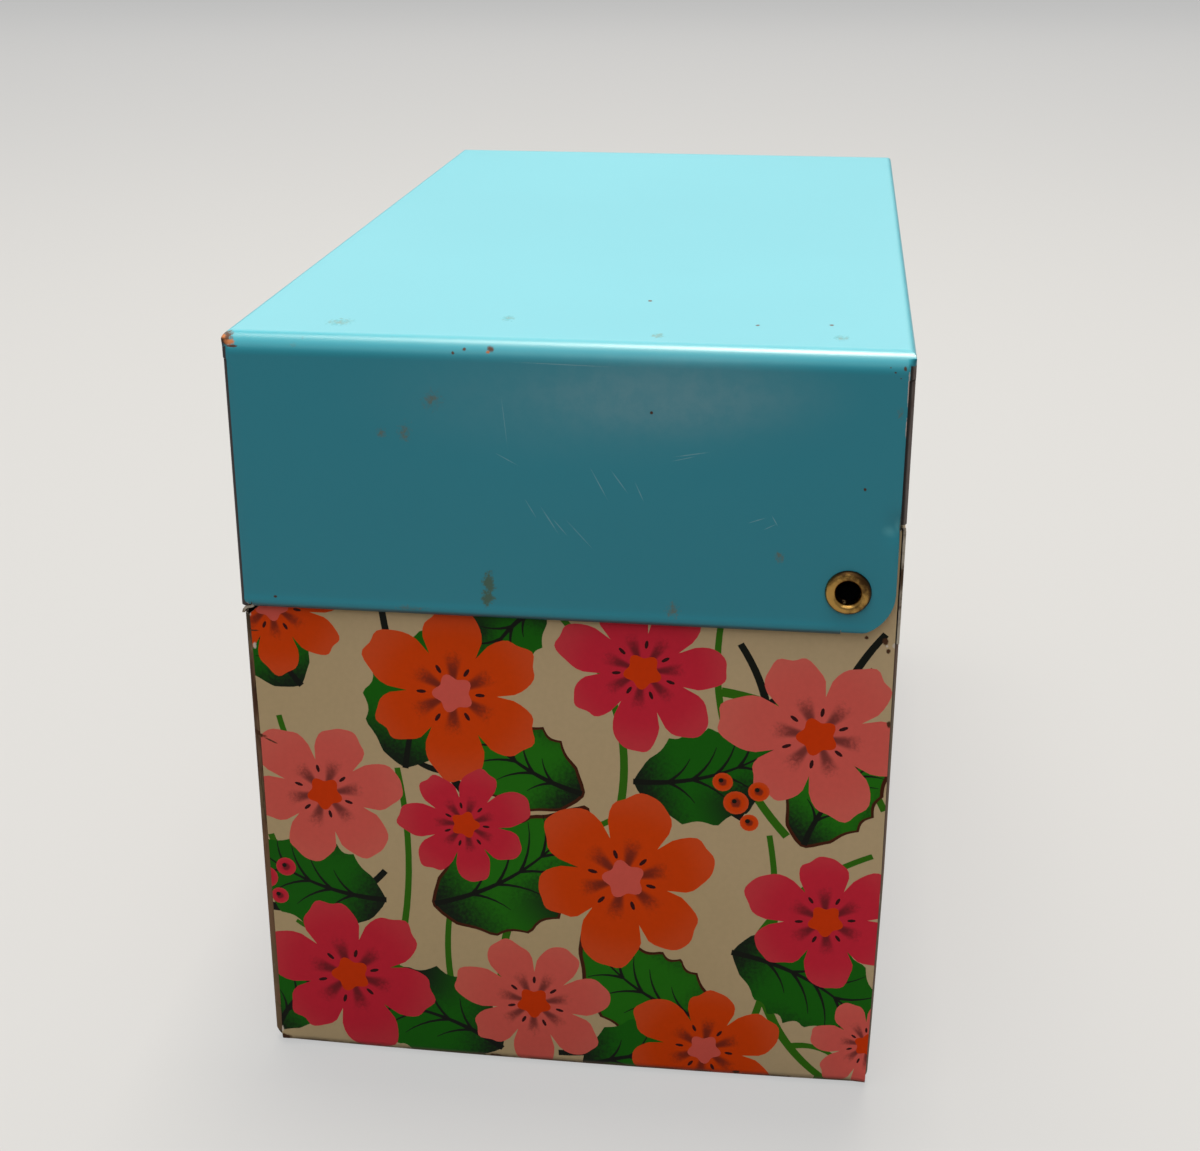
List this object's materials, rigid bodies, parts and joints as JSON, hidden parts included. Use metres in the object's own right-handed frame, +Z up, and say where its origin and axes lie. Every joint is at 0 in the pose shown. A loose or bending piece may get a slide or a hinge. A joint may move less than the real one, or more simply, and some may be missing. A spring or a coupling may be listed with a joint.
{
  "type": "recipe card box",
  "caption": "Folded tinplate box for upright recipe cards, with a deep lid that swings back on a pair of hollow eyelets.",
  "frame": {"origin": "middle of the underside, midway between the two eyelets' outer faces and midway between front and rear wall", "axes": "+Z up, X along the box's long side and along the hinge, +Y from the front wall to the rear wall; the lid opens away from -Y"},
  "size_m": [0.1394, 0.075, 0.092],
  "materials": {
    "body_enamel": "gloss enamel print on tinplate, worn at the folds",
    "lid_enamel": "gloss enamel on tinplate, chipped at the folds",
    "eyelet_brass": "aged brass, half dull"
  },
  "bodies": {
    "body": {"body_shell": "body_enamel", "eyelet_right": "eyelet_brass", "eyelet_left": "eyelet_brass"},
    "lid": {"lid_shell": "lid_enamel"}
  },
  "joints": [
    {"name": "lid_hinge", "type": "hinge", "parent": "body", "child": "lid", "pos_m": [0, 0.0316, 0.0652], "axis": [-1, 0, 0], "range_deg": [0, 104]}
  ]
}
